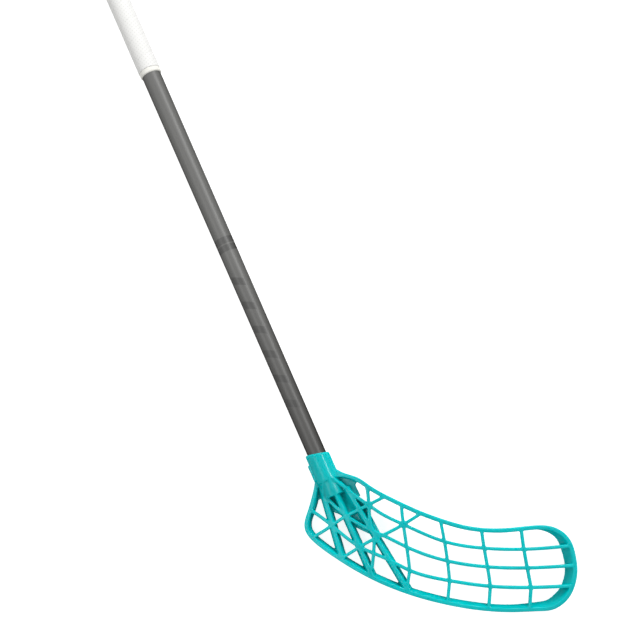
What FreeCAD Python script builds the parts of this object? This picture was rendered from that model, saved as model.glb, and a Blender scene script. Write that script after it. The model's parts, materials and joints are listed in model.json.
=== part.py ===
import FreeCAD
import Part
import Sketcher
import math
import os

# Floorball stick lying on its blade and grip.
# The shaft's axis is the X axis. X = 0 is the butt face, +X runs to the blade, +Y to the toe, +Z up.

Vector = FreeCAD.Vector
UP = Vector(0, 0, 1)
ALONG = Vector(1, 0, 0)

# Driving sizes in millimetres and degrees.
SIZES = {
    # shaft: a tube that tapers from the grip to the socket
    "shaft_length": 765.0,
    "shaft_butt_d": 22.3,
    "shaft_tip_d": 20.4,
    "shaft_wall": 1.5,
    # grip wrap and the band that closes its lower end
    "grip_length": 232.0,
    "grip_wall": 1.9,
    "band_length": 6.0,
    "band_wall": 1.5,
    # end cap: a flange over the butt and a hollow plug in the shaft
    "cap_flange": 5.0,
    "cap_inset": 0.3,
    "cap_plug": 24.0,
    "cap_wall": 2.2,
    "cap_clearance": 0.08,
    "cap_bevel": 1.2,
    # glue between the shaft and the socket
    "glue_thickness": 0.4,
    # socket: a collar with a slanting mouth that takes the shaft, and a nose below it
    "socket_length": 47.4,
    "socket_wall": 2.35,
    "collar_length": 31.4,
    "collar_lip": 0.4,
    "mouth_fall": 6.0,
    "mouth_round": 1.5,
    "nose_wall": 1.2,
    "nose_floor": 1.2,
    "bore_relief": 0.6,
    "gusset_drop": 0.4,
    # blade: plan length, depth, and the arch with the direction it runs in
    "blade_length": 290.5,
    "blade_depth": 14.0,
    "arch_radius": 604.0,
    "arch_angle": 57.0,
    # rim: width at the front, and how far each stretch leans in towards the back
    "rim_front": 4.4,
    "heel_lean": 2.8,
    "sole_lean": 3.0,
    "toe_lean": 8.0,
    "top_lean": 0.4,
    # ribs, spokes, webs and the trough behind the socket
    "rib_width": 3.5,
    "rib_depth": 8.0,
    "spoke_front": 3.0,
    "spoke_back": 11.5,
    "web_thickness": 2.4,
    "web_inset": 3.0,
    "trough_length": 34.0,
    "trough_overlap": 5.0,
    "trough_lift": 5.0,
    "trough_drop": 4.0,
    "trough_rise": 6.8,
    "trough_taper": 1.8,
    # screw through the socket's side into the shaft, and the pad it sits in
    "screw_station": 17.4,
    "pad_length": 18.0,
    "pad_width": 13.0,
    "pad_rise": 1.9,
    "screw_head_d": 7.0,
    "screw_head_height": 2.4,
    "screw_head_sink": 0.2,
    "screw_d": 3.5,
    "screw_length": 9.5,
    "screw_clearance": 0.1,
    "screw_slot_width": 1.1,
    "screw_slot_length": 4.4,
    "screw_slot_depth": 1.4,
}

doc = FreeCAD.newDocument("floorball_stick")
sheet = doc.addObject("Spreadsheet::Sheet", "sizes")
for row, (alias, value) in enumerate(SIZES.items(), start=1):
    sheet.set(f"A{row}", alias)
    sheet.set(f"B{row}", str(value))
    sheet.setAlias(f"B{row}", alias)
doc.recompute()

# Places and radii that several pieces share, as formulas on the sheet.
SHAFT_R = "sizes.shaft_butt_d / 2"
TIP_R = "sizes.shaft_tip_d / 2"
GRIP_R = "(sizes.shaft_butt_d / 2 + sizes.grip_wall)"
BAND_R = "(sizes.shaft_butt_d / 2 + sizes.band_wall)"
SOCKET_BORE_R = "(sizes.shaft_tip_d / 2 + sizes.glue_thickness)"
COLLAR_R = f"({SOCKET_BORE_R} + sizes.socket_wall)"
NOSE_R = f"({SOCKET_BORE_R} + sizes.nose_wall)"
PAD_R = f"({COLLAR_R} + sizes.pad_rise)"
GRIP_END = "(sizes.cap_flange + sizes.grip_length)"
BAND_END = f"({GRIP_END} + sizes.band_length)"
SHAFT_END = "(sizes.cap_flange + sizes.shaft_length)"
MOUTH = f"({SHAFT_END} - sizes.socket_length)"
GLUE_START = f"({MOUTH} + sizes.mouth_fall / 2)"
SCREW_X = f"({MOUTH} + sizes.screw_station)"
SCREW_HOLE_R = "(sizes.screw_d / 2 + sizes.screw_clearance)"
SCREW_SEAT = f"({PAD_R} - sizes.screw_head_sink - sizes.screw_head_height)"


def size(alias):
    """Value of one driving size, read from the sheet."""
    return float(getattr(sheet, alias))


def formula(text):
    """Number that a formula on the sheet gives."""
    return float(sheet.evalExpression(text))


def origin_plane(body, role):
    """Origin plane of a body, found by its role."""
    return next(plane for plane in body.Origin.OriginFeatures if plane.Role == role)


def turned_body(name, corners):
    """Body of revolution about X: a closed profile whose corners are (x, radius) formulas."""
    body = doc.addObject("PartDesign::Body", name)
    body.Label = name
    sketch = body.newObject("Sketcher::SketchObject", name + "_profile")
    sketch.AttachmentSupport = [(origin_plane(body, "XY_Plane"), "")]
    sketch.MapMode = "FlatFace"
    places = [Vector(formula(x), formula(radius), 0) for x, radius in corners]
    count = len(corners)
    for index, place in enumerate(places):
        sketch.addGeometry(Part.LineSegment(place, places[(index + 1) % count]), False)
    for index, ((x, radius), place) in enumerate(zip(corners, places)):
        sketch.addConstraint(Sketcher.Constraint("Coincident", index, 2, (index + 1) % count, 1))
        for kind, text, value in (("DistanceX", x, place.x), ("DistanceY", radius, place.y)):
            if text == "0":
                axis = -2 if kind == "DistanceX" else -1
                sketch.addConstraint(Sketcher.Constraint("PointOnObject", index, 1, axis))
                continue
            at = sketch.addConstraint(Sketcher.Constraint(kind, -1, 1, index, 1, value))
            sketch.setExpression(f"Constraints[{at}]", text)
    turned = body.newObject("PartDesign::Revolution", name + "_turned")
    turned.Profile = sketch
    turned.ReferenceAxis = (sketch, ["H_Axis"])
    turned.Angle = 360
    doc.recompute()
    return body


def drill_side(body, reach):
    """Screw hole from the axis out through the wall on the -Y side."""
    before = body.Shape.Volume
    sketch = body.newObject("Sketcher::SketchObject", body.Name + "_hole")
    sketch.AttachmentSupport = [(origin_plane(body, "XZ_Plane"), "")]
    sketch.MapMode = "FlatFace"
    centre = Vector(formula(SCREW_X), 0, 0)
    sketch.addGeometry(Part.Circle(centre, UP, formula(SCREW_HOLE_R)), False)
    sketch.addConstraint(Sketcher.Constraint("PointOnObject", 0, 3, -1))
    at = sketch.addConstraint(Sketcher.Constraint("DistanceX", -1, 1, 0, 3, centre.x))
    sketch.setExpression(f"Constraints[{at}]", SCREW_X)
    at = sketch.addConstraint(Sketcher.Constraint("Radius", 0, formula(SCREW_HOLE_R)))
    sketch.setExpression(f"Constraints[{at}]", SCREW_HOLE_R)
    hole = body.newObject("PartDesign::Pocket", body.Name + "_screw_hole")
    hole.Profile = sketch
    hole.setExpression("Length", reach)
    hole.Reversed = True
    doc.recompute()
    if body.Shape.Volume >= before:
        raise RuntimeError(f"{body.Label}: the screw hole cut nothing")


# Shaft: straight under the grip, tapered over its bare length, straight again in the socket.
shaft = turned_body("shaft", [
    ("sizes.cap_flange", f"{SHAFT_R} - sizes.shaft_wall"),
    ("sizes.cap_flange", SHAFT_R),
    (BAND_END, SHAFT_R),
    (MOUTH, TIP_R),
    (SHAFT_END, TIP_R),
    (SHAFT_END, f"{TIP_R} - sizes.shaft_wall"),
    (MOUTH, f"{TIP_R} - sizes.shaft_wall"),
    (BAND_END, f"{SHAFT_R} - sizes.shaft_wall"),
])
drill_side(shaft, SOCKET_BORE_R)

# Grip wrap: the wound strip as one sleeve, from the cap's flange to the band.
grip_wrap = turned_body("grip_wrap", [
    ("sizes.cap_flange", SHAFT_R),
    ("sizes.cap_flange", GRIP_R),
    (GRIP_END, GRIP_R),
    (GRIP_END, SHAFT_R),
])

# Finishing band below the wrap, thinned towards the bare shaft.
grip_band = turned_body("grip_band", [
    (GRIP_END, SHAFT_R),
    (GRIP_END, BAND_R),
    (f"{BAND_END} - sizes.band_wall", BAND_R),
    (BAND_END, f"{SHAFT_R} + sizes.band_wall / 3"),
    (BAND_END, SHAFT_R),
])

# End cap: bevelled flange flush with the butt, hollow plug with a bevelled lead-in.
FLANGE_R = f"({GRIP_R} - sizes.cap_inset)"
PLUG_R = f"({SHAFT_R} - sizes.shaft_wall - sizes.cap_clearance)"
PLUG_END = "(sizes.cap_flange + sizes.cap_plug)"
end_cap = turned_body("end_cap", [
    ("0", "0"),
    ("0", f"{FLANGE_R} - sizes.cap_bevel"),
    ("sizes.cap_bevel", FLANGE_R),
    ("sizes.cap_flange", FLANGE_R),
    ("sizes.cap_flange", PLUG_R),
    (f"{PLUG_END} - sizes.cap_bevel", PLUG_R),
    (PLUG_END, f"{PLUG_R} - sizes.cap_bevel"),
    (PLUG_END, f"{PLUG_R} - sizes.cap_wall"),
    ("sizes.cap_flange", f"{PLUG_R} - sizes.cap_wall"),
    ("sizes.cap_flange", "0"),
])

# Glue film: fills the gap between the shaft and the socket's bore below the slanting mouth.
glue_film = turned_body("glue_film", [
    (GLUE_START, TIP_R),
    (GLUE_START, SOCKET_BORE_R),
    (SHAFT_END, SOCKET_BORE_R),
    (SHAFT_END, TIP_R),
])
drill_side(glue_film, COLLAR_R)


def cylinder(name, radius, height):
    """Cylinder whose radius and height are formulas."""
    solid = doc.addObject("Part::Cylinder", name)
    solid.setExpression("Radius", radius)
    solid.setExpression("Height", height)
    return solid


def slot_box(name, across, length):
    """Half of the cross recess, centred on the screw's axis at the top of its head."""
    box = doc.addObject("Part::Box", name)
    box.setExpression("Length", across)
    box.setExpression("Width", length)
    box.setExpression("Height", "sizes.screw_slot_depth")
    box.setExpression("Placement.Base.x", f"-({across}) / 2")
    box.setExpression("Placement.Base.y", f"-({length}) / 2")
    box.setExpression("Placement.Base.z", "sizes.screw_head_height - sizes.screw_slot_depth")
    return box


# Screw: cylinder head with a cross recess on a plain shank. Its own Z axis points out of the head.
head = cylinder("screw_head", "sizes.screw_head_d / 2", "sizes.screw_head_height")
shank = cylinder("screw_shank", "sizes.screw_d / 2", "sizes.screw_length")
shank.setExpression("Placement.Base.z", "-sizes.screw_length")
screw_blank = doc.addObject("Part::MultiFuse", "screw_blank")
screw_blank.Shapes = [head, shank]
recess = doc.addObject("Part::MultiFuse", "screw_recess")
recess.Shapes = [
    slot_box("slot_one", "sizes.screw_slot_width", "sizes.screw_slot_length"),
    slot_box("slot_two", "sizes.screw_slot_length", "sizes.screw_slot_width"),
]
blade_screw = doc.addObject("Part::Cut", "blade_screw")
blade_screw.Label = "blade_screw"
blade_screw.Base = screw_blank
blade_screw.Tool = recess
blade_screw.Placement = FreeCAD.Placement(Vector(), FreeCAD.Rotation(ALONG, 90))
blade_screw.setExpression("Placement.Base.x", SCREW_X)
blade_screw.setExpression("Placement.Base.y", f"-{SCREW_SEAT}")
doc.recompute()

# Blade plan. Points are (x, y) from the shaft's axis just below the middle of the mouth:
# x along the shaft, y to the toe.
HEEL_EDGE = [
    (24, -13), (31, -17), (41.5, -25), (52, -34), (62, -42.3), (70, -45), (78, -44), (88, -39.8),
]
SOLE_EDGE = [
    (109.5, -26.7), (145, 0), (174.5, 29), (199, 59.5), (220, 91.5), (237, 125), (246.5, 148.5),
]
TOE_EDGE = [
    (251, 161.5), (250.5, 174.5), (245.5, 186.5), (236, 197), (225.5, 204), (211, 209), (194, 211),
    (181, 206.5),
]
TOP_EDGE = [
    (171, 197), (165, 185), (157, 161), (147.5, 137.5), (134.5, 115.5), (117.5, 95), (98.5, 75.5),
    (77.5, 57), (54, 39), (41, 30.5), (32, 20.5), (24, 13.5),
]
EDGES = [
    (HEEL_EDGE, "heel_lean"),
    (SOLE_EDGE, "sole_lean"),
    (TOE_EDGE, "toe_lean"),
    (TOP_EDGE, "top_lean"),
]
HEEL_TIP = (70, -45)
TOE_TIP = (211, 209)
# Where the windows' outline crosses inside the socket.
WINDOW_APEX = (30, 0)

LENGTHWISE_RIBS = [
    [
        (38, 11), (54, 18), (73, 29.5), (87, 38.5), (107, 55.5), (141, 88.3), (164, 123.5),
        (182, 161.5), (198, 206),
    ],
    [
        (45, -9.5), (74, 3), (100, 22.5), (109, 31), (130, 49), (160.5, 82.5), (183, 118.5),
        (201, 156.5), (219, 203),
    ],
    [
        (51, -32), (77, -16), (110, 3), (133, 24.5), (153.5, 41.8), (180, 76), (202.5, 112.8),
        (221, 151.5), (238, 194),
    ],
]
CROSS_RIBS = [
    [(49, 36.5), (73, 30), (91, 24), (104, 23)],
    [(104, 23), (121.5, 14), (137, 5)],
    [(86, 62.5), (107, 55.5), (130, 49), (153.5, 41.8)],
    [(153.5, 41.8), (171, 30.5)],
    [(118, 93.5), (141, 88), (160.5, 82.5), (180, 76)],
    [(180, 76), (199, 65)],
    [(144, 129.5), (164, 123.5), (183, 118.5), (202.5, 112.8)],
    [(202.5, 112.8), (221, 102.5)],
    [(160, 168.5), (182, 161.5), (201, 156.5), (221, 151.5)],
    [(221, 151.5), (240, 141)],
    [(80, -41), (77, -16), (74, 3), (73.5, 19), (73, 30), (72, 50)],
    [(113, -20), (110, 2.5), (108.5, 18), (108.5, 31), (107, 55.5), (104, 77)],
]
SPOKES = [
    ((30, -9.2), (122, -20.8)),
    ((40, 2.2), (150, 2.6)),
    ((46, 14.9), (181, 33)),
]
# Fins from the socket's collar down to the blade's front.
GUSSETS = [
    ((31, -5), (46, -12)),
    ((31, 1.4), (66, 1.8)),
    ((31, 5.8), (48, 15)),
]
WEBS = [
    [(20, -8), (27, -15), (44, -29), (46, -18), (44, -11)],
    [(20, 8), (26, 15), (43, 31), (47.5, 25), (60.5, 25.5), (60, 19), (43, 12)],
    [(45, -9.5), (52, -13.5), (66, -7.8), (68, -5.2), (75, 0.3), (75, 3), (46, 3)],
    [(48, 12), (56, 20), (74, 28), (84, 27.3), (104, 29), (107, 22), (75, 14)],
    [(73, 2), (86.4, 4.5), (90.4, 7.8), (95.7, 12.4), (101.5, 17.7), (104, 20.5), (73, 18)],
]
TROUGH_AIM = (92, 14)

# Shares of the blade's depth by which the window plug and the spokes run past both of its faces.
PLUG_OVERRUN = 0.1
SPOKE_OVERRUN = 0.25
# How many blade depths the plan prisms reach below the floor and above the crest.
PRISM_REACH = 2
# Points on the outline that find the blade's two ends.
OUTLINE_SAMPLES = 400

mouth = Vector(formula(MOUTH), 0, 0)
plan_zero = mouth + ALONG * size("collar_lip")
floor_z = -formula(GRIP_R)
depth = size("blade_depth")
stretch = size("blade_length") / math.dist(HEEL_TIP, TOE_TIP)


def plan(point):
    """Place of a plan point on the stick, with the pattern stretched about its zero point."""
    return plan_zero + Vector(point[0], point[1], 0) * stretch


def smooth(points, closed=False):
    """Smooth edge through points."""
    curve = Part.BSplineCurve()
    curve.interpolate(Points=points, PeriodicFlag=closed)
    return curve.toShape()


outline = [plan(point) for edge, lean in EDGES for point in edge]
leans = [size(lean) for edge, lean in EDGES for point in edge]
lengthwise = FreeCAD.Rotation(UP, size("arch_angle")).multVec(ALONG)
crosswise = UP.cross(lengthwise)
reaches = [point.dot(lengthwise) for point in smooth(outline).discretize(OUTLINE_SAMPLES)]
arch_middle = (min(reaches) + max(reaches)) / 2
half_span = (max(reaches) - min(reaches)) / 2
arch_r = size("arch_radius")
# The crest's height puts the back edges of the heel and the toe on the floor.
crest_z = floor_z + arch_r - math.sqrt((arch_r - depth) ** 2 - half_span ** 2)
low_z = floor_z - PRISM_REACH * depth
high_z = crest_z + PRISM_REACH * depth


def front_z(point):
    """Height of the blade's arched front over a plan point."""
    away = point.dot(lengthwise) - arch_middle
    return crest_z - arch_r + math.sqrt(arch_r ** 2 - away ** 2)


def lifted(point, z):
    """Plan point at a height."""
    return Vector(point.x, point.y, z)


def prism(face):
    """Plan face carried from under the blade to over it."""
    return face.translated(Vector(0, 0, low_z)).extrude(Vector(0, 0, high_z - low_z))


def sheet_under(inset, thickness):
    """Curved sheet that starts a distance behind the front and is so thick."""
    width = 2 * size("blade_length")
    aside = outline[0].dot(crosswise) - width / 2
    centre = lengthwise * arch_middle + crosswise * aside + Vector(0, 0, crest_z - arch_r)
    outer = Part.makeCylinder(arch_r - inset, width, centre, crosswise)
    inner = Part.makeCylinder(arch_r - inset - thickness, width, centre, crosswise)
    return outer.cut(inner)


def sideways(points, index):
    """Unit vector across a row of points, to the left of its direction."""
    before = points[max(index - 1, 0)]
    after = points[min(index + 1, len(points) - 1)]
    return UP.cross(after - before).normalize()


def rib_face(points, width):
    """Plan face of a rib: its centre line moved half a width to each side."""
    left = [point + sideways(points, index) * (width / 2) for index, point in enumerate(points)]
    right = [point - sideways(points, index) * (width / 2) for index, point in enumerate(points)]
    right.reverse()
    edges = [smooth(left), Part.makeLine(left[-1], right[0])]
    edges += [smooth(right), Part.makeLine(right[-1], left[0])]
    return Part.Face(Part.Wire(edges))


def footprint():
    """Everything inside the blade's outline, straight up and down."""
    return prism(Part.Face(Part.Wire([smooth(outline), Part.makeLine(outline[-1], outline[0])])))


def rim():
    """Border of the blade: its outline less a window plug whose wall leans in towards the back."""
    front = [plan(WINDOW_APEX)]
    back = [plan(WINDOW_APEX)]
    for index in range(1, len(outline) - 1):
        inwards = sideways(outline, index)
        lean = (leans[index - 1] + leans[index] + leans[index + 1]) / 3
        front.append(outline[index] + inwards * (size("rim_front") - lean * PLUG_OVERRUN))
        back.append(outline[index] + inwards * (size("rim_front") + lean * (1 + PLUG_OVERRUN)))
    rings = [
        [lifted(point, low_z) for point in back],
        [lifted(point, front_z(point) - depth * (1 + PLUG_OVERRUN)) for point in back],
        [lifted(point, front_z(point) + depth * PLUG_OVERRUN) for point in front],
        [lifted(point, high_z) for point in front],
    ]
    plug = Part.makeLoft([Part.Wire(smooth(ring, True)) for ring in rings], True, True)
    return footprint().cut(plug).common(sheet_under(0, depth))


def spoke(start, end):
    """Deep straight strut from the socket to the sole, wider at the back than at the front."""
    across = UP.cross(end - start).normalize()
    overrun = depth * SPOKE_OVERRUN
    sections = ((size("spoke_back"), -depth - overrun), (size("spoke_front"), overrun))
    wires = []
    for width, over_front in sections:
        corners = [
            lifted(place + across * (side * width / 2), front_z(place) + over_front)
            for place, side in ((start, 1), (end, 1), (end, -1), (start, -1))
        ]
        wires.append(Part.makePolygon(corners + corners[:1]))
    return Part.makeLoft(wires, True, True)


def grid():
    """Ribs and cross ribs as one plan pattern, cut to their depth behind the front."""
    ribs = []
    for points in LENGTHWISE_RIBS + CROSS_RIBS:
        ribs.append(prism(rib_face([plan(point) for point in points], size("rib_width"))))
    pattern = ribs[0].multiFuse(ribs[1:])
    return pattern.common(footprint()).common(sheet_under(0, size("rib_depth")))


def webs():
    """Thin panels that brace the neck between the rim and the spokes, at the back."""
    panels = []
    for corners in WEBS:
        points = [plan(point) for point in corners]
        panels.append(prism(Part.Face(Part.makePolygon(points + points[:1]))))
    pattern = panels[0].multiFuse(panels[1:])
    behind = depth - size("web_thickness") - size("web_inset")
    return pattern.common(footprint()).common(sheet_under(behind, size("web_thickness")))


def gusset(start, end):
    """Fin that falls from just under the collar's skin to the blade's front, rooted in the axis plane."""
    across = UP.cross(end - start).normalize() * (size("spoke_front") / 2)
    top_start = lifted(start, math.sqrt(formula(COLLAR_R) ** 2 - start.y ** 2) - size("gusset_drop"))
    top_end = lifted(end, front_z(end))
    corners = [start, top_start, top_end, lifted(end, top_end.z - size("rib_depth")), start]
    side = Part.Face(Part.makePolygon([corner - across for corner in corners]))
    return side.extrude(across * 2)


def trough():
    """Open channel that leaves the socket's nose between two spokes, rises to the blade and thins out."""
    length = size("trough_length")
    taper = size("trough_taper")
    outer_r = formula(NOSE_R)
    inner_r = formula(SOCKET_BORE_R)
    outer = Part.makeCone(outer_r, outer_r - taper, length, Vector(), ALONG)
    inner = Part.makeCone(inner_r, inner_r - taper, length, Vector(), ALONG)
    height = outer_r - size("trough_drop")
    lower = Part.makeBox(length, 2 * outer_r, height, Vector(0, -outer_r, -outer_r))
    channel = outer.cut(inner).common(lower)
    start = Vector(formula(SHAFT_END) - size("trough_overlap"), 0, 0)
    aim = (plan(TROUGH_AIM) - start).normalize() * length
    turn = FreeCAD.Rotation(ALONG, aim + UP * size("trough_rise"))
    channel.Placement = FreeCAD.Placement(start + UP * size("trough_lift"), turn)
    return channel


def socket():
    """Collar whose rounded mouth falls towards the toe, a slimmer closed nose and the screw's pad."""
    collar_r = formula(COLLAR_R)
    fall = size("mouth_fall")
    collar = Part.makeCylinder(collar_r, size("collar_length") + fall, mouth - ALONG * fall, ALONG)
    collar_d = 2 * collar_r
    slant = Vector(fall, collar_d, 0)
    corners = [mouth - slant, mouth + slant]
    corners += [corner - ALONG * (2 * collar_d) for corner in reversed(corners)]
    collar = collar.cut(prism(Part.Face(Part.makePolygon(corners + corners[:1]))))
    mouth_edge = min(collar.Edges, key=lambda edge: edge.CenterOfMass.x)
    collar = collar.makeFillet(size("mouth_round"), [mouth_edge])
    nose_length = size("socket_length") + size("bore_relief") + size("nose_floor") - fall
    nose = Part.makeCylinder(formula(NOSE_R), nose_length, mouth + ALONG * fall, ALONG)
    pad_r = formula(PAD_R)
    pad_start = Vector(formula(SCREW_X) - size("pad_length") / 2, 0, 0)
    round_pad = Part.makeCylinder(pad_r, size("pad_length"), pad_start, ALONG)
    corner = pad_start - Vector(0, pad_r, size("pad_width") / 2)
    pad = round_pad.common(Part.makeBox(size("pad_length"), pad_r, size("pad_width"), corner))
    return collar.fuse(nose).fuse(pad)


def blade_shape():
    """Whole moulding: rim, grid, spokes, webs, socket and trough, less the bore and the screw's hole."""
    deep = sheet_under(0, depth).common(footprint())
    spokes = [spoke(plan(start), plan(end)).common(deep) for start, end in SPOKES]
    gussets = [gusset(plan(start), plan(end)) for start, end in GUSSETS]
    body = rim().multiFuse([grid(), webs(), trough(), socket()] + spokes + gussets)
    fall = ALONG * size("mouth_fall")
    bore_length = size("mouth_fall") + size("socket_length") + size("bore_relief")
    bore = Part.makeCylinder(formula(SOCKET_BORE_R), bore_length, mouth - fall, ALONG)
    screw_axis = Vector(formula(SCREW_X), 0, 0)
    outwards = Vector(0, -1, 0)
    hole = Part.makeCylinder(formula(SCREW_HOLE_R), formula(PAD_R), screw_axis, outwards)
    head_r = size("screw_head_d") / 2 + size("screw_clearance")
    seat = screw_axis + outwards * formula(SCREW_SEAT)
    pocket = Part.makeCylinder(head_r, formula(PAD_R), seat, outwards)
    return body.cut(bore).cut(hole).cut(pocket)


blade = doc.addObject("Part::Feature", "blade")
blade.Label = "blade"
blade.Shape = blade_shape()
blade.Placement = FreeCAD.Placement()
doc.recompute()

pieces = [shaft, grip_wrap, grip_band, end_cap, glue_film, blade_screw, blade]
for item in doc.Objects:
    if "Invalid" in item.State or "Error" in item.State:
        raise RuntimeError(f"{item.Label}: {item.State}")
for piece in pieces:
    if piece.Shape.isNull() or not piece.Shape.isValid() or len(piece.Shape.Solids) != 1:
        raise RuntimeError(f"{piece.Label}: not one valid solid")

os.makedirs("parts", exist_ok=True)
for piece in pieces:
    piece.Shape.exportStep(f"parts/{piece.Label}.step")
    box = piece.Shape.BoundBox
    print(f"{piece.Label}: {len(piece.Shape.Solids)} solid, {piece.Shape.Volume:.0f} mm3,")
    print(f"    from {box.XMin:.1f}, {box.YMin:.1f}, {box.ZMin:.1f}")
    print(f"    to {box.XMax:.1f}, {box.YMax:.1f}, {box.ZMax:.1f}")
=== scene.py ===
# %% [markdown]
# # A floorball stick
# The stick lies on a pale floor with the arched side of its blade up, as in a catalogue picture.
# Its solids come from the frame, in metres: the shaft runs along X, the toe points to +Y and Z is up.
# Each step below gives one piece the surface that its solid is too plain for, then its finish.

# %% Load the frame
import json

import bmesh
import bpy
import numpy as np
from mathutils import Matrix, Vector


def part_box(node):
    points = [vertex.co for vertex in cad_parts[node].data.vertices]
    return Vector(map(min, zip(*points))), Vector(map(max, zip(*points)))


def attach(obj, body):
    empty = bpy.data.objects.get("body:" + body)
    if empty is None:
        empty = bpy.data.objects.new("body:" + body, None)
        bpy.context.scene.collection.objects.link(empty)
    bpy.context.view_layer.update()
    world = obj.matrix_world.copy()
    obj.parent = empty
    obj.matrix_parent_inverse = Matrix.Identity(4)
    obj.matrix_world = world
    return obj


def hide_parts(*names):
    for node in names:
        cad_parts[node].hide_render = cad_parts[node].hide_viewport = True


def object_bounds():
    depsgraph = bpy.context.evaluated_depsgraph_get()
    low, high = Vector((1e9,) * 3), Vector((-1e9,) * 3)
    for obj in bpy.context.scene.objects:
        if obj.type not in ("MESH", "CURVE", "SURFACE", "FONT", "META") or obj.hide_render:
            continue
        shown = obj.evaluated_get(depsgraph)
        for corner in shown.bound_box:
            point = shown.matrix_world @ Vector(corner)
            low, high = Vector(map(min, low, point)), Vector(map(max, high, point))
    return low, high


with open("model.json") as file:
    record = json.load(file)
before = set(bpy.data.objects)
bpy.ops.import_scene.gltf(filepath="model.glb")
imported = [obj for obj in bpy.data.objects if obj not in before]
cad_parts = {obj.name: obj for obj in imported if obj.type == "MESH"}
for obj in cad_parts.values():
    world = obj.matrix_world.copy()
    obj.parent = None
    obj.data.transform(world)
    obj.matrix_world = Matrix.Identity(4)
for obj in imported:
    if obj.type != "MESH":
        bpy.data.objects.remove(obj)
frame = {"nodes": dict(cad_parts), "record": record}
cad_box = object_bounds()
record = frame["record"]
MM = 0.001
BODY_OF = {node: body for body, nodes in record["behaviour"]["bodies"].items() for node in nodes}
print("CAD box in mm:", [round(side / MM, 1) for side in cad_box[1] - cad_box[0]])

# %% [markdown]
# ## Sizes
# Every size that the frame knows is read from it, so the pieces fit without any moving about.
# The radii of turned parts come from their corner points: how far each lies from the X axis.


# %% Read the sizes
def mesh_points(mesh):
    """Points of a mesh as rows of x, y, z in metres."""
    points = np.empty(len(mesh.vertices) * 3, np.float32)
    mesh.vertices.foreach_get("co", points)
    return points.reshape(-1, 3).astype(float)


def reach(node):
    """Lowest x, highest x, smallest radius and largest radius of a turned CAD node."""
    points = mesh_points(frame["nodes"][node].data)
    radius = np.hypot(points[:, 1], points[:, 2])
    return points[:, 0].min(), points[:, 0].max(), radius.min(), radius.max()


BUTT, SHAFT_END, shaft_bore, SHAFT_R = reach("shaft")
_, GRIP_END, _, GRIP_R = reach("grip_wrap")
_, BAND_END, _, BAND_R = reach("grip_band")
CAP_FACE, PLUG_END, _, FLANGE_R = reach("end_cap")
GLUE_START, _, TIP_R, BORE_R = reach("glue_film")
SHAFT_WALL = TIP_R - shaft_bore
screw_low, screw_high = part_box("blade_screw")
SCREW_X = (screw_low.x + screw_high.x) / 2
HEAD_R = (screw_high.x - screw_low.x) / 2
HEAD_RIM_SHARE = 0.9
screw_points = mesh_points(frame["nodes"]["blade_screw"].data)
on_rim = np.hypot(screw_points[:, 0] - SCREW_X, screw_points[:, 2]) > HEAD_R * HEAD_RIM_SHARE
SEAT_Y = screw_points[on_rim, 1].max()
print(f"shaft {(SHAFT_END - BUTT) / MM:.0f} mm long, radius {SHAFT_R / MM:.1f} to {TIP_R / MM:.1f} mm")
print(f"grip ends at {GRIP_END / MM:.0f} mm, screw at {SCREW_X / MM:.0f} mm")

# %% [markdown]
# ## Turned pieces
# Shaft, grip, band and cap are all round, so each is one profile turned about the X axis. Blender's
# Screw modifier could do this too, but worked out as an array the surface can also carry a relief,
# such as the wound strip's edge, and its own map for the finish.


# %% Turn a profile
def filled(corners, step):
    """Profile with extra points, so that no stretch between two corners is longer than a step."""
    corners = np.asarray(corners, float)
    runs = []
    for start, end in zip(corners[:-1], corners[1:]):
        count = max(int(np.ceil(np.linalg.norm(end - start) / step)), 1)
        runs.append(start + (end - start) * np.arange(count)[:, None] / count)
    return np.concatenate(runs + [corners[-1:]])


def softened(corners, radius, steps=5):
    """Profile with soft corners.

    Each inner corner c turns into the curve (1-s)^2 a + 2 s (1-s) c + s^2 b, where a and b lie a
    radius before and after it, or half way to the next corner where that is nearer.
    """
    corners = np.asarray(corners, float)
    inner = corners[1:-1]
    before = corners[:-2] - inner
    after = corners[2:] - inner
    to_before = np.linalg.norm(before, axis=1, keepdims=True)
    to_after = np.linalg.norm(after, axis=1, keepdims=True)
    start = inner + before * np.minimum(radius / to_before, 0.5)
    end = inner + after * np.minimum(radius / to_after, 0.5)
    s = np.linspace(0, 1, steps)[None, :, None]
    curve = (1 - s) ** 2 * start[:, None] + 2 * s * (1 - s) * inner[:, None] + s ** 2 * end[:, None]
    return np.concatenate([corners[:1], curve.reshape(-1, 2), corners[-1:]])


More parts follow.
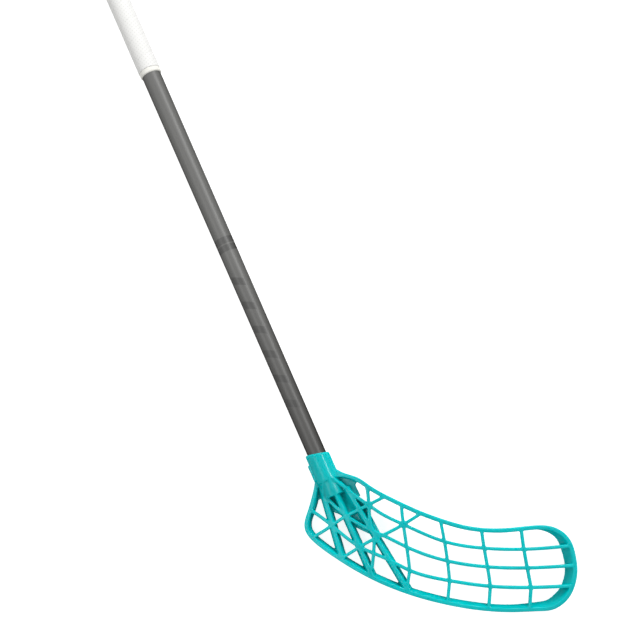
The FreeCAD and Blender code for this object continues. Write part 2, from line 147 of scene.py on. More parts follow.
def turned(name, profile, sides, relief=0.0, ring=False):
    """Surface of revolution about the X axis.

    The profile's point (x, r), turned by the angle t, lands on (x, q cos t, q sin t) with q = r + relief.
    A ring closes its profile on itself. The map called wrap holds t times the largest r, and the way
    along the profile, both in metres.
    """
    profile = np.asarray(profile, float)
    x, r = profile.T
    turn = np.arange(sides) * (2 * np.pi / sides)
    q = r[:, None] + np.broadcast_to(relief, (len(x), sides))
    points = np.stack([np.broadcast_to(x[:, None], q.shape), q * np.cos(turn), q * np.sin(turn)], -1)
    row = np.arange(len(x) if ring else len(x) - 1)[:, None]
    column = np.arange(sides)[None, :]
    next_row = (row + 1) % len(x)
    next_column = (column + 1) % sides
    corners = [(row, column), (row, next_column), (next_row, next_column), (next_row, column)]
    faces = np.stack([i * sides + j for i, j in corners], -1).reshape(-1, 4)
    mesh = bpy.data.meshes.new(name)
    mesh.from_pydata(points.reshape(-1, 3), [], faces)
    ahead = np.roll(profile, -1, axis=0) - profile
    way = np.concatenate([[0], np.cumsum(np.hypot(ahead[:, 0], ahead[:, 1]))])
    across = (column + np.array([0, 1, 1, 0])[:, None, None]) * (2 * np.pi / sides * r.max())
    along = way[row + np.array([0, 0, 1, 1])[:, None, None]]
    wrap = np.stack(np.broadcast_arrays(across, along), -1).transpose(1, 2, 0, 3)
    mesh.uv_layers.new(name="wrap").data.foreach_set("uv", wrap.astype(np.float32).ravel())
    return finished(name, mesh)


def finished(name, mesh, sharp=np.radians(50)):
    """Object for a mesh, with its poles merged, smooth shading and true edges kept sharp."""
    work = bmesh.new()
    work.from_mesh(mesh)
    bmesh.ops.remove_doubles(work, verts=work.verts, dist=1e-7)
    work.to_mesh(mesh)
    work.free()
    mesh.shade_smooth()
    mesh.set_sharp_from_angle(angle=sharp)
    piece = bpy.data.objects.new(name, mesh)
    bpy.context.scene.collection.objects.link(piece)
    return piece


def dress(piece, node, finish):
    """The piece stands for its CAD node: it rides on that node's body and takes a finish; the node is
    hidden.
    """
    piece.data.materials.clear()
    piece.data.materials.append(finish)
    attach(piece, BODY_OF[node])
    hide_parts(node)
    piece.data.calc_loop_triangles()
    print(f"{piece.name}: {len(piece.data.loop_triangles)} triangles, {finish.name}")


# %% [markdown]
# ## Finishes
# A finish is a small graph of nodes. Colours are written as sRGB hex, as a colour picker shows them,
# and turned to the linear values that the shader works with. Pattern sizes are given in millimetres:
# a texture's scale is how many of its features fit in one metre.


# %% Tools for finishes
def linear(colour):
    """Linear colour for an sRGB hex value such as "#08B8B8"."""
    channels = [int(colour[at:at + 2], 16) / 255 for at in (1, 3, 5)]
    return [c / 12.92 if c <= 0.04045 else ((c + 0.055) / 1.055) ** 2.4 for c in channels] + [1.0]


def per_metre(millimetres):
    """Texture scale at which one feature is so many millimetres wide."""
    return 1 / (millimetres * MM)


def add(tree, kind, inputs=None, **settings):
    """Add one node: set its properties, then give each input a value or link it to a socket."""
    node = tree.nodes.new("ShaderNode" + kind)
    for setting, value in settings.items():
        setattr(node, setting, value)
    for socket, value in (inputs or {}).items():
        if isinstance(value, bpy.types.NodeSocket):
            tree.links.new(value, node.inputs[socket])
        else:
            node.inputs[socket].default_value = value
    return node


def finish(name, **constants):
    """Material with a Principled surface whose plain numbers are set by name. Gives it and its parts."""
    material = bpy.data.materials.new(name)
    material.use_nodes = True
    shader = material.node_tree.nodes["Principled BSDF"]
    for socket, value in constants.items():
        shader.inputs[socket.replace("_", " ")].default_value = value
    return material, material.node_tree, shader


# Sockets of the colour form of the Mix node.
MIX_A, MIX_B, MIX_COLOUR = 6, 7, 2

# %% [markdown]
# ## Shaft
# The real shaft is a carbon and glass composite tube, moulded and then given a satin coat. It tapers
# from the grip to the socket. A profile with a soft rim at both ends is turned into the tube, and a
# Boolean drills the screw's hole, because a hole in the side isn't part of a turned surface.

# %% Turn the shaft
SHAFT_SIDES = 96
SHAFT_STEP = 12 * MM
TAPER_END = GLUE_START - 3 * MM
HOLE_R = 1.85 * MM
DRILL_SIDES = 32
shaft_outside = [(BUTT, SHAFT_R), (BAND_END, SHAFT_R), (TAPER_END, TIP_R), (SHAFT_END, TIP_R)]
shaft_inside = [(x, r - SHAFT_WALL) for x, r in reversed(shaft_outside)]
shaft = turned("shaft_tube", filled(shaft_outside + shaft_inside, SHAFT_STEP), SHAFT_SIDES, ring=True)


def drilled(piece, radius, depth):
    """Cut the screw's round hole into a piece from the -Y side, from the axis out to a depth."""
    bit_profile = [(0, 0), (0, radius), (depth, radius), (depth, 0)]
    bit = turned("drill", bit_profile, DRILL_SIDES)
    bit.data.transform(Matrix.Translation((SCREW_X, 0, 0)) @ Matrix.Rotation(-np.pi / 2, 4, "Z"))
    cut = piece.modifiers.new("screw hole", "BOOLEAN")
    cut.operation = "DIFFERENCE"
    cut.object = bit
    applied(piece)
    bpy.data.objects.remove(bit)


def applied(piece):
    """Make a piece's modifiers part of its mesh."""
    graph = bpy.context.evaluated_depsgraph_get()
    mesh = bpy.data.meshes.new_from_object(piece.evaluated_get(graph))
    piece.modifiers.clear()
    piece.data = mesh


drilled(shaft, HOLE_R, SHAFT_R * 2)
print("shaft tube:", len(shaft.data.vertices), "points")

# %% [markdown]
# The tube is grey under its satin coat and darkens towards the socket. The coat's weight follows how
# level the surface lies, so it is full above and below and fades on both flanks: a painted shade that
# darkens the tube's sides. Tows of fibre about a millimetre and a half wide run lengthwise, so the noise is
# stretched along X. Two plain rings and a row of slanted bars, one tone darker, trim the lower half. All
# of them are stretches of a distance: the rings of the way along the shaft, the bars of the same way
# shifted in step with the way across it, taken again from zero at every spacing.

# %% Satin composite
TOW_WIDTH = 1.5
TOW_LENGTH = 70
FADE_START = 480 * MM
RINGS = ((458.0 * MM, 465.3 * MM), (467.4 * MM, 474.3 * MM))
BAR_FIRST = 508 * MM
BAR_SPACING = 30 * MM
BAR_COUNT = 6
BAR_WIDTH = 9 * MM
BAR_SLANT = 0.55
BAR_SIDES = (-8 * MM, 4 * MM)
TRIM_BLUR = 0.7 * MM
TRIM_TONE = 0.5


def worked(tree, operation, first, second=0.0):
    """Socket with the result of one sum, such as SUBTRACT or MULTIPLY."""
    return add(tree, "Math", {0: first, 1: second}, operation=operation).outputs[0]


def level(tree, normal):
    """Socket that is 1 where a surface lies level and 0 where it stands upright."""
    return worked(tree, "ABSOLUTE", add(tree, "SeparateXYZ", {0: normal}).outputs["Z"])


def stretch(tree, value, start, end):
    """Socket that is 1 where a value lies between two limits and 0 outside, with a blur at both."""
    away = worked(tree, "ABSOLUTE", worked(tree, "SUBTRACT", value, (start + end) / 2))
    half = (end - start) / 2
    return add(tree, "MapRange", {"Value": away, "From Min": half + TRIM_BLUR, "From Max": half}).outputs[0]


def shaft_trim(tree, x, y, z):
    """Socket that is 1 on the rings and on the bars, which lie on the upper side only."""
    rings = [stretch(tree, x, start, end) for start, end in RINGS]
    slanted = worked(tree, "SUBTRACT", x, worked(tree, "MULTIPLY", y, BAR_SLANT))
    past_first = worked(tree, "SUBTRACT", slanted, BAR_FIRST)
    in_row = stretch(tree, past_first, -TRIM_BLUR, BAR_COUNT * BAR_SPACING - 2 * TRIM_BLUR)
    bars = stretch(tree, worked(tree, "FLOORED_MODULO", past_first, BAR_SPACING), TRIM_BLUR, BAR_WIDTH)
    across = worked(tree, "MULTIPLY", stretch(tree, y, *BAR_SIDES), worked(tree, "GREATER_THAN", z, 0.0))
    row = worked(tree, "MULTIPLY", worked(tree, "MULTIPLY", bars, in_row), across)
    return worked(tree, "MAXIMUM", worked(tree, "MAXIMUM", *rings), row)


def satin_composite():
    """Satin coated carbon and glass: grey, soft gloss, painted shade on the flanks, faint lengthwise fibre.
    """
    material, tree, shader = finish("satin carbon composite", Roughness=0.6, Specular_IOR_Level=0.0,
                                    Coat_IOR=1.6, Coat_Roughness=0.45)
    spot = add(tree, "TexCoord").outputs
    place = spot["Object"]
    # Painted shade: the coat fades on the flanks, which darkens the tube's sides.
    coat_with_flank_shade = add(tree, "MapRange", {"Value": level(tree, spot["Normal"]), "From Min": 0.45, "From Max": 0.95,
                                   "To Min": 0.0, "To Max": 1.0})
    tree.links.new(coat_with_flank_shade.outputs[0], shader.inputs["Coat Weight"])
    axes = add(tree, "SeparateXYZ", {0: place})
    tows = add(tree, "Mapping", {"Vector": place, "Scale": (TOW_WIDTH / TOW_LENGTH, 1, 1)})
    fibre = add(tree, "TexNoise", {"Vector": tows.outputs[0], "Scale": per_metre(TOW_WIDTH),
                                   "Detail": 3.0, "Roughness": 0.6})
    down = add(tree, "MapRange", {"Value": axes.outputs["X"], "From Min": FADE_START,
                                  "From Max": GLUE_START})
    ground = add(tree, "Mix", {0: down.outputs[0], MIX_A: linear("#5E5E5C"), MIX_B: linear("#373634")},
                 data_type="RGBA")
    strength = add(tree, "MapRange", {"Value": fibre.outputs["Fac"], "From Min": 0.3, "From Max": 0.7,
                                      "To Min": 0.0, "To Max": 0.16})
    woven = add(tree, "Mix", {0: strength.outputs[0], MIX_A: ground.outputs[MIX_COLOUR],
                              MIX_B: linear("#363635")}, data_type="RGBA")
    tone = worked(tree, "MULTIPLY", shaft_trim(tree, *axes.outputs), TRIM_TONE)
    trimmed = add(tree, "Mix", {0: tone, MIX_A: woven.outputs[MIX_COLOUR], MIX_B: linear("#141413")},
                  data_type="RGBA")
    tree.links.new(trimmed.outputs[MIX_COLOUR], shader.inputs["Base Color"])
    bump = add(tree, "Bump", {"Height": fibre.outputs["Fac"], "Strength": 0.15, "Distance": 0.05 * MM})
    tree.links.new(bump.outputs[0], shader.inputs["Normal"])
    return material


dress(shaft, "shaft", satin_composite())

# %% [markdown]
# ## Grip
# The grip is one long polyurethane strip, perforated, wound on from the cap down with each turn lapped
# over the last. It could be a swept strip, but only its outside shows, so it is a turned sleeve with a
# relief: along the lap, a helix round the sleeve, the surface dips a little and rises again.

# %% Wind the grip
GRIP_SIDES = 96
LAP_PITCH = 24 * MM
LAP_DEPTH = 0.28 * MM
LAP_WIDTH = 0.11
GRIP_ROUND = 0.8 * MM
GRIP_STEP = 0.8 * MM


def lap(x, turn):
    """Relief of the lap at phase x / pitch - turn / 2 pi: a step down, then a rise over a share of it."""
    phase = np.mod(x / LAP_PITCH - turn / (2 * np.pi), 1)
    rise = np.clip(phase / LAP_WIDTH, 0, 1)
    fall = np.clip((1 - phase) / (LAP_WIDTH / 4), 0, 1)
    smooth = rise ** 2 * (3 - 2 * rise) * fall ** 2 * (3 - 2 * fall)
    return -LAP_DEPTH * (1 - smooth)


grip_corners = [(BUTT, SHAFT_R), (BUTT, GRIP_R), (GRIP_END, GRIP_R), (GRIP_END, SHAFT_R)]
grip_profile = filled(softened(grip_corners, GRIP_ROUND), GRIP_STEP)
grip_turn = np.arange(GRIP_SIDES) * (2 * np.pi / GRIP_SIDES)
outer_share = np.clip((grip_profile[:, 1] - SHAFT_R) / (GRIP_R - SHAFT_R), 0, 1)
grip_relief = lap(grip_profile[:, :1], grip_turn[None, :]) * outer_share[:, None]
grip = turned("wound_grip", grip_profile, GRIP_SIDES, grip_relief, ring=True)

# %% [markdown]
# Polyurethane grip strip is matt and faintly grained, with a short nap that lightens it towards the
# edges. Rows of small punched dots follow the strip's direction, so they are drawn on the sleeve's own
# map, turned by the helix angle: a cell pattern with no randomness gives one dot per cell.

# %% Perforated polyurethane
DOT_SPACING = 3.4


def perforated_polyurethane():
    """Matt white polyurethane strip with rows of punched dots and a fine grain."""
    material, tree, shader = finish("perforated polyurethane", Roughness=0.62, IOR=1.5,
                                    Specular_IOR_Level=0.3, Sheen_Weight=0.4, Sheen_Roughness=0.4)
    wrap = add(tree, "UVMap", uv_map="wrap").outputs[0]
    helix = np.arctan2(LAP_PITCH, 2 * np.pi * GRIP_R)
    rows = add(tree, "Mapping", {"Vector": wrap, "Rotation": (0, 0, helix + np.pi / 4)})
    cells = add(tree, "TexVoronoi", {"Vector": rows.outputs[0], "Scale": per_metre(DOT_SPACING),
                                     "Randomness": 0.0}, voronoi_dimensions="2D")
    dots = add(tree, "MapRange", {"Value": cells.outputs["Distance"], "From Min": 0.13, "From Max": 0.2})
    colour = add(tree, "Mix", {0: dots.outputs[0], MIX_A: linear("#D3D3D0"), MIX_B: linear("#E3E3E1")},
                 data_type="RGBA")
    tree.links.new(colour.outputs[MIX_COLOUR], shader.inputs["Base Color"])
    place = add(tree, "TexCoord").outputs["Object"]
    grain = add(tree, "TexNoise", {"Vector": place, "Scale": per_metre(0.9), "Detail": 3.0})
    grained = add(tree, "Bump", {"Height": grain.outputs["Fac"], "Strength": 0.3, "Distance": 0.08 * MM})
    punched = add(tree, "Bump", {"Height": dots.outputs[0], "Strength": 0.6, "Distance": 0.25 * MM,
                                 "Normal": grained.outputs[0]})
    tree.links.new(punched.outputs[0], shader.inputs["Normal"])
    return material


dress(grip, "grip_wrap", perforated_polyurethane())

# %% [markdown]
# ## Finishing band
# A narrow elastic band holds the strip's lower end. Its section is a soft bead, so the profile's corners
# are softened before it is turned.

# %% Turn the band
BAND_DROP_SHARE = 0.65
BAND_SIDES = 96
BAND_ROUND = 0.9 * MM
band_drop = (BAND_R - SHAFT_R) * BAND_DROP_SHARE
band_corners = [
    (GRIP_END, SHAFT_R), (GRIP_END, BAND_R), (BAND_END - band_drop, BAND_R),
    (BAND_END, BAND_R - band_drop), (BAND_END, SHAFT_R),
]
band = turned("finishing_band", softened(band_corners, BAND_ROUND), BAND_SIDES, ring=True)


# A wave texture of scale 1 repeats after this length.
WAVE_LENGTH = 2 * np.pi / 20


def knitted_elastic():
    """Cream elastic tape: matt, with fine cords across its width, 0.8 mm apart."""
    material, tree, shader = finish("knitted elastic tape", Roughness=0.7, IOR=1.5,
                                    Specular_IOR_Level=0.25)
    wrap = add(tree, "UVMap", uv_map="wrap").outputs[0]
    cords = add(tree, "TexWave", {"Vector": wrap, "Scale": per_metre(0.8) * WAVE_LENGTH},
                wave_type="BANDS", bands_direction="Y", wave_profile="SIN")
    colour = add(tree, "Mix", {0: cords.outputs["Fac"], MIX_A: linear("#DEDDD6"), MIX_B: linear("#F0EFE9")},
                 data_type="RGBA")
    tree.links.new(colour.outputs[MIX_COLOUR], shader.inputs["Base Color"])
    bump = add(tree, "Bump", {"Height": cords.outputs["Fac"], "Strength": 0.4, "Distance": 0.1 * MM})
    tree.links.new(bump.outputs[0], shader.inputs["Normal"])
    return material


dress(band, "grip_band", knitted_elastic())

# %% [markdown]
# ## End cap
# A rubber plug closes the butt. It has a soft flange, a shallow dish in its face, and rings round the
# hollow plug that grip the tube. All of it is one profile, from the middle of the face out over the
# flange, along the plug and back up the inside.

# %% Turn the cap
PLUG_PLAY = 0.08 * MM
PLUG_R = SHAFT_R - SHAFT_WALL - PLUG_PLAY
PLUG_WALL = 2.2 * MM
PLUG_EDGE = 1.2 * MM
DISH_DEPTH = 0.8 * MM
DISH_FLOOR_SHARE = 0.62
DISH_RIM_SHARE = 0.72
RING_COUNT = 5
RING_POINTS = 12
RING_DEPTH = 0.35 * MM
RINGS_AFTER = 1 * MM
RINGS_BEFORE = 2 * MM
CAP_ROUND = 1.2 * MM
CAP_SIDES = 72
face_corners = [
    (CAP_FACE + DISH_DEPTH, 0), (CAP_FACE + DISH_DEPTH, FLANGE_R * DISH_FLOOR_SHARE),
    (CAP_FACE, FLANGE_R * DISH_RIM_SHARE), (CAP_FACE, FLANGE_R), (BUTT, FLANGE_R), (BUTT, PLUG_R),
]
ring_x = np.linspace(BUTT + RINGS_AFTER, PLUG_END - RINGS_BEFORE, RING_COUNT * RING_POINTS + 1)
ring_wave = 0.5 - 0.5 * np.cos(2 * np.pi * RING_COUNT * (ring_x - ring_x[0]) / np.ptp(ring_x))
plug_rings = np.stack([ring_x, PLUG_R - RING_DEPTH * (1 - ring_wave)], -1)
hollow_corners = [
    (PLUG_END, PLUG_R - PLUG_EDGE), (PLUG_END, PLUG_R - PLUG_WALL), (BUTT, PLUG_R - PLUG_WALL), (BUTT, 0),
]
cap_profile = np.concatenate([softened(face_corners, CAP_ROUND), plug_rings, hollow_corners])
cap = turned("end_plug", cap_profile, CAP_SIDES)


def moulded_rubber():
    """White thermoplastic rubber from a spark-eroded mould: matt, with a fine even grain."""
    material, tree, shader = finish("moulded rubber", Roughness=0.68, IOR=1.52, Specular_IOR_Level=0.3)
    place = add(tree, "TexCoord").outputs["Object"]
    grain = add(tree, "TexNoise", {"Vector": place, "Scale": per_metre(0.7), "Detail": 2.0})
    colour = add(tree, "Mix", {0: grain.outputs["Fac"], MIX_A: linear("#DCDCD9"), MIX_B: linear("#EDEDEA")},
                 data_type="RGBA")
    tree.links.new(colour.outputs[MIX_COLOUR], shader.inputs["Base Color"])
    bump = add(tree, "Bump", {"Height": grain.outputs["Fac"], "Strength": 0.35, "Distance": 0.08 * MM})
    tree.links.new(bump.outputs[0], shader.inputs["Normal"])
    return material


dress(cap, "end_cap", moulded_rubber())

# %% [markdown]
# ## Blade
# The blade is one polyethylene moulding of crossing ribs, and no sheet of two parameters can branch like
# that. Its solid has every rib in place but sharp edges, where a mould leaves round ones. Bevelling so
# many crossings breaks up, so a copy of the solid is turned into a fine even skin and smoothed: a few
# rounds in all directions break the edges, and more rounds that move points only up or down give the
# ribs their round crests without making them thinner.

# %% Round the blade
BLADE_VOXEL = 0.6 * MM
BLADE_ROUNDS = 3
CREST_ROUNDS = 10
BLADE_TRIANGLES = 195000


def even_skin(name, node, voxel, rounds, crest_rounds=0):
    """Copy of a CAD node as one even skin: merged, remeshed to a voxel size and smoothed."""
    mesh = frame["nodes"][node].data.copy()
    piece = finished(name, mesh)
    remesh = piece.modifiers.new("skin", "REMESH")
    remesh.mode = "VOXEL"
    remesh.voxel_size = voxel
    for label, count in (("edges", rounds), ("crests", crest_rounds)):
        soften = piece.modifiers.new(label, "SMOOTH")
        soften.factor = 0.5
        soften.iterations = count
    soften.use_x = soften.use_y = False
    applied(piece)
    return piece


def thinned(piece, triangles):
    """Merge small faces on flat ground until a number of triangles is left."""
    piece.data.calc_loop_triangles()
    thin = piece.modifiers.new("thin", "DECIMATE")
    thin.ratio = min(triangles / len(piece.data.loop_triangles), 1)
    applied(piece)


blade = even_skin("ribbed_blade", "blade", BLADE_VOXEL, BLADE_ROUNDS, CREST_ROUNDS)
print("blade skin:", len(blade.data.polygons), "faces")

# %% [markdown]
# Smoothing also softens what has to fit: the bore on the glue and the seat of the screw. Points there
# are set back on their radius, each along its own line from the axis.

# %% True up the bore and the screw's seat
SEAT_PLAY = 0.12 * MM
SEAT_R = HEAD_R + SEAT_PLAY
SEAT_CATCH_IN = 1.2 * MM
SEAT_CATCH_OUT = 0.25 * MM
SEAT_CATCH_DEEP = 0.4 * MM
BORE_CATCH = 0.55 * MM
BORE_END_CLEAR = 0.5 * MM


def set_radius(first, second, mask, radius):
    """Move masked points to a radius about an axis, given their two distances from it."""
    factor = np.where(mask, radius / np.maximum(np.hypot(first, second), 1e-9), 1)
    return first * factor, second * factor


points = mesh_points(blade.data)
x, y, z = points.T
off_axis = np.hypot(y, z)
in_bore = (x < SHAFT_END - BORE_END_CLEAR) & (off_axis < BORE_R + BORE_CATCH)
y, z = set_radius(y, z, in_bore, BORE_R)
off_screw = np.hypot(x - SCREW_X, z)
near_seat = (off_screw > SEAT_R - SEAT_CATCH_IN) & (off_screw < SEAT_R + SEAT_CATCH_OUT)
in_seat = (y < SEAT_Y + SEAT_CATCH_DEEP) & near_seat
side, up = set_radius(x - SCREW_X, z, in_seat, SEAT_R)
blade.data.vertices.foreach_set("co", np.stack([SCREW_X + side, y, up], -1).astype(np.float32).ravel())
blade.data.update()
thinned(blade, BLADE_TRIANGLES)
blade.data.shade_smooth()
print(f"{in_bore.sum()} points on the bore, {in_seat.sum()} on the screw's seat")

# %% [markdown]
# Moulded polyethylene is coloured through and half glossy. Its colour drifts a little where the melt
# flowed, over some 40 mm, and the mould leaves a fine skin texture that breaks up the gloss. The gloss
# is a coat over a matt body. Its weight follows how level the surface lies and fades where the surface
# is steep: a painted shade that keeps the walls of the ribs dark. The plastic also lets light in for a
# few millimetres, mostly green and blue, so thin ribs have no hard shadows.

# %% Moulded polyethylene
FLOW_SIZE = 40
SKIN_SIZE = 1.1


def moulded_polyethylene():
    """Teal polyethylene: coloured through, half gloss, painted wall shade, flow marks, fine mould texture.
    """
    material, tree, shader = finish("moulded polyethylene", Roughness=0.6, Specular_IOR_Level=0.0,
                                    Coat_IOR=1.51, Subsurface_Weight=0.9,
                                    Subsurface_Radius=(0.3, 1.0, 1.0), Subsurface_Scale=6 * MM)
    spot = add(tree, "TexCoord").outputs
    place = spot["Object"]
    # Painted shade: the coat fades on steep walls, which keeps the ribs' walls dark and the crests glossy.
    gloss_with_wall_shade = add(tree, "MapRange", {"Value": level(tree, spot["Normal"]), "From Min": 0.3, "From Max": 0.8,
                                    "To Min": 0.02, "To Max": 0.32})
    tree.links.new(gloss_with_wall_shade.outputs[0], shader.inputs["Coat Weight"])
    flow = add(tree, "TexNoise", {"Vector": place, "Scale": per_metre(FLOW_SIZE), "Detail": 4.0,
                                  "Distortion": 0.6})
    drift = add(tree, "MapRange", {"Value": flow.outputs["Fac"], "From Min": 0.3, "From Max": 0.7})
    colour = add(tree, "Mix", {0: drift.outputs[0], MIX_A: linear("#00B3B6"), MIX_B: linear("#00BFC1")},
                 data_type="RGBA")
    tree.links.new(colour.outputs[MIX_COLOUR], shader.inputs["Base Color"])
    skin = add(tree, "TexNoise", {"Vector": place, "Scale": per_metre(SKIN_SIZE), "Detail": 3.0})
    gloss = add(tree, "MapRange", {"Value": skin.outputs["Fac"], "From Min": 0.3, "From Max": 0.7,
                                   "To Min": 0.1, "To Max": 0.17})
    tree.links.new(gloss.outputs[0], shader.inputs["Coat Roughness"])
    bump = add(tree, "Bump", {"Height": skin.outputs["Fac"], "Strength": 0.12, "Distance": 0.05 * MM})
    tree.links.new(bump.outputs[0], shader.inputs["Normal"])
    tree.links.new(bump.outputs[0], shader.inputs["Coat Normal"])
    return material


dress(blade, "blade", moulded_polyethylene())

# %% [markdown]
# ## Screw
# One small screw through the socket's side keeps the blade from slipping off. Its head, with the cross
# recess, is again an even skin of the solid. The shank's thread is worked out on that skin: the radius
# rises and falls once per pitch along the shank, shifted by the angle round it.

# %% Cut the thread
SCREW_VOXEL = 0.11 * MM
THREAD_PITCH = 1.3 * MM
THREAD_DEPTH = 0.45 * MM
THREAD_SLOPE = 1.35
THREAD_AFTER = 0.3 * MM
THREAD_RUN_IN = 0.6 * MM
SHANK_CORE_R = 0.4 * MM
SCREW_ROUNDS = 3
POINT_LENGTH = 2.4 * MM
POINT_TIP_SHARE = 0.25
screw = even_skin("socket_screw", "blade_screw", SCREW_VOXEL, SCREW_ROUNDS)
points = mesh_points(screw.data)
x, y, z = points.T
radius = np.hypot(x - SCREW_X, z)
shank = np.clip((y - SEAT_Y - THREAD_AFTER) / THREAD_RUN_IN, 0, 1) * (radius > SHANK_CORE_R)
phase = np.mod(y / THREAD_PITCH + np.arctan2(z, x - SCREW_X) / (2 * np.pi), 1)
groove = THREAD_DEPTH * shank * np.clip(THREAD_SLOPE * (1 - np.abs(2 * phase - 1)), 0, 1)
point_share = np.clip((screw_high.y - y) / POINT_LENGTH, POINT_TIP_SHARE, 1)
factor = np.where(shank > 0, (radius - groove) / np.maximum(radius, 1e-9) * point_share, 1)
thread = np.stack([SCREW_X + (x - SCREW_X) * factor, y, z * factor], -1)
screw.data.vertices.foreach_set("co", thread.astype(np.float32).ravel())
screw.data.update()
screw.data.shade_smooth()


def zinc_plated_steel():
    """Zinc-plated steel: a bright grey metal, slightly blue, with faint turning marks."""
    material, tree, shader = finish("zinc plated steel", Metallic=1.0)
    place = add(tree, "TexCoord").outputs["Object"]
    marks = add(tree, "TexNoise", {"Vector": place, "Scale": per_metre(0.5), "Detail": 3.0})
    colour = add(tree, "Mix", {0: marks.outputs["Fac"], MIX_A: linear("#A9ADB0"), MIX_B: linear("#C6C9CA")},
                 data_type="RGBA")
    tree.links.new(colour.outputs[MIX_COLOUR], shader.inputs["Base Color"])
    gloss = add(tree, "MapRange", {"Value": marks.outputs["Fac"], "To Min": 0.26, "To Max": 0.44})
    tree.links.new(gloss.outputs[0], shader.inputs["Roughness"])
    return material


dress(screw, "blade_screw", zinc_plated_steel())

# %% [markdown]
# ## Glue
# Hot-melt glue fills the gap between shaft and socket. Only a thin ring of it shows at the mouth, where
# its plain solid is the right shape, so that stays and gets a waxy finish.


# %% Hot-melt glue
def hot_melt():
    """Hot-melt glue: cream, waxy, cloudy over a few millimetres."""
    material, tree, shader = finish("hot melt glue", Roughness=0.4, IOR=1.48)
    place = add(tree, "TexCoord").outputs["Object"]
    cloud = add(tree, "TexNoise", {"Vector": place, "Scale": per_metre(4), "Detail": 3.0})
    colour = add(tree, "Mix", {0: cloud.outputs["Fac"], MIX_A: linear("#CFC19A"), MIX_B: linear("#E3D9BC")},
                 data_type="RGBA")
    tree.links.new(colour.outputs[MIX_COLOUR], shader.inputs["Base Color"])
    bump = add(tree, "Bump", {"Height": cloud.outputs["Fac"], "Strength": 0.2, "Distance": 0.1 * MM})
    tree.links.new(bump.outputs[0], shader.inputs["Normal"])
    return material


glue = frame["nodes"]["glue_film"]
glue.data.materials.clear()
glue.data.materials.append(hot_melt())

# %% [markdown]
# ## Floor, light and camera
# The floor is pale and wide. Its own colour is a light grey, so that about half of the light comes back
# up under the stick, and for the camera and for reflections it also glows, past white. The glow doesn't
# light the stick, and where the stick takes most of the light away the floor still darkens.

# %% Lay the floor
FLOOR_HALF = 100.0
FLOOR_GLOW = 0.84
floor_z = cad_box[0].z
floor_corners = [(-FLOOR_HALF, -FLOOR_HALF), (FLOOR_HALF, -FLOOR_HALF), (FLOOR_HALF, FLOOR_HALF),
                 (-FLOOR_HALF, FLOOR_HALF)]
floor_mesh = bpy.data.meshes.new("floor")
floor_mesh.from_pydata([(x, y, floor_z) for x, y in floor_corners], [], [(0, 1, 2, 3)])
floor = bpy.data.objects.new("floor", floor_mesh)
bpy.context.scene.collection.objects.link(floor)


def looked_at(tree):
    """Socket that is 1 for rays from the camera, a reflection or glass, and 0 for rays that carry light."""
    path = add(tree, "LightPath").outputs
    seen = worked(tree, "MAXIMUM", path["Is Camera Ray"], path["Is Glossy Ray"])
    return worked(tree, "MAXIMUM", seen, path["Is Transmission Ray"])


def studio_paper():
    """Matt studio paper, with a glow where it is looked at."""
    material, tree, shader = finish("studio paper", Roughness=1.0, Specular_IOR_Level=0.0)
    fibre = add(tree, "TexNoise", {"Vector": add(tree, "TexCoord").outputs["Object"],
                                   "Scale": per_metre(3), "Detail": 2.0})
    colour = add(tree, "Mix", {0: fibre.outputs["Fac"], MIX_A: linear("#C6C6C6"), MIX_B: linear("#CACACA")},
                 data_type="RGBA")
    tree.links.new(colour.outputs[MIX_COLOUR], shader.inputs["Base Color"])
    shader.inputs["Emission Color"].default_value = (1, 1, 1, 1)
    glow = worked(tree, "MULTIPLY", looked_at(tree), FLOOR_GLOW)
    tree.links.new(glow, shader.inputs["Emission Strength"])
    return material


floor_mesh.materials.append(studio_paper())

# %% [markdown]
# Three soft lamps light the stick. A long narrow one on the toe side runs along the shaft and draws a
# streak down the shaft and the socket. A low one beyond the butt lights the ribs' walls that face it
# and their crests. A broad weak one opposite fills the other side, and an even world does the rest: it
# is white where it is looked at and dimmer as a light. The level is the brightness that a lamp alone
# gives a white card that faces it, and together they light a level card a little past white.

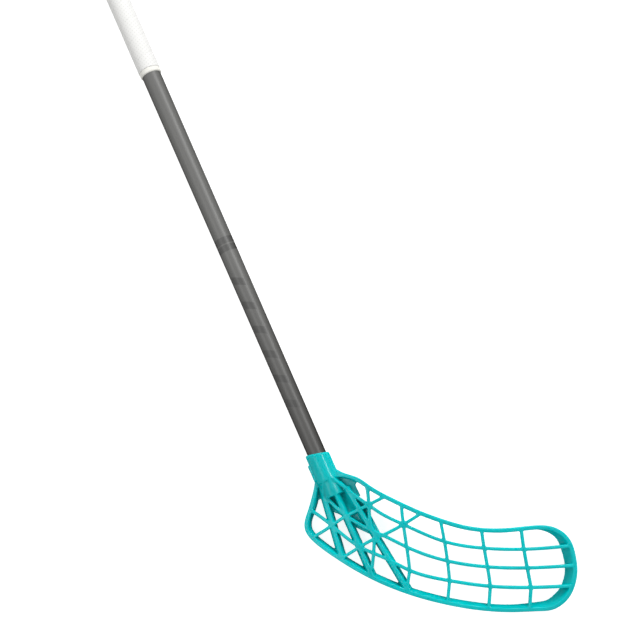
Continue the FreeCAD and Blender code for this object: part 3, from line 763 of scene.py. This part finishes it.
# %% Light the stick
WORLD_LEVEL = 0.5
SOFT_LAMPS = {
    "strip_lamp": {"place": (-0.1, 1.7, 1.65), "sides": (1.9, 0.2), "level": 0.52},
    "low_lamp": {"place": (-1.9, 0.95, 1.45), "sides": (0.8, 1.2), "level": 0.3},
    "fill_lamp": {"place": (0.35, -1.1, 1.9), "sides": (1.4, 0.9), "level": 0.2},
}
LAMP_AIM = Vector((0.6, 0.04, 0))
world = bpy.data.worlds.new("studio")
world.use_nodes = True
backdrop = world.node_tree.nodes["Background"]
backdrop.inputs["Color"].default_value = (1, 1, 1, 1)
white = add(world.node_tree, "MapRange", {"Value": looked_at(world.node_tree), "To Min": WORLD_LEVEL})
world.node_tree.links.new(white.outputs[0], backdrop.inputs["Strength"])
bpy.context.scene.world = world
for name, lamp in SOFT_LAMPS.items():
    data = bpy.data.lights.new(name, "AREA")
    data.shape = "RECTANGLE"
    data.size, data.size_y = lamp["sides"]
    back = Vector(lamp["place"]) - LAMP_AIM
    data.energy = lamp["level"] * np.pi ** 2 * back.length_squared
    back.normalize()
    along = (Vector((1, 0, 0)) - back * back.x).normalized()
    turn = Matrix((along, back.cross(along), back)).transposed().to_4x4()
    soft_lamp = bpy.data.objects.new(name, data)
    soft_lamp.matrix_world = Matrix.Translation(lamp["place"]) @ turn
    bpy.context.scene.collection.objects.link(soft_lamp)
    print(f"{name}: {data.energy:.0f} W")

# %% [markdown]
# The camera stands over the blade's end of the stick and looks almost straight down. Its place, the
# point that it looks at and the direction on the floor that is up in the picture set it completely.

# %% Set up the camera
CAMERA_PLACE = Vector((818.0, 88.6, 1326.7)) * MM
CAMERA_AIM = Vector((588.1, 63.05, 0)) * MM
PICTURE_UP = np.radians(156.195)
LENS = 67.95
camera_data = bpy.data.cameras.new("camera")
camera_data.lens = LENS
camera_data.sensor_width = 36
camera = bpy.data.objects.new("camera", camera_data)
ahead = (CAMERA_AIM - CAMERA_PLACE).normalized()
right = ahead.cross(Vector((np.cos(PICTURE_UP), np.sin(PICTURE_UP), 0))).normalized()
above = right.cross(ahead)
camera_turn = Matrix((right, above, -ahead)).transposed().to_4x4()
camera.matrix_world = Matrix.Translation(CAMERA_PLACE) @ camera_turn
bpy.context.scene.collection.objects.link(camera)
bpy.context.scene.camera = camera
bpy.context.scene.view_settings.view_transform = "Standard"
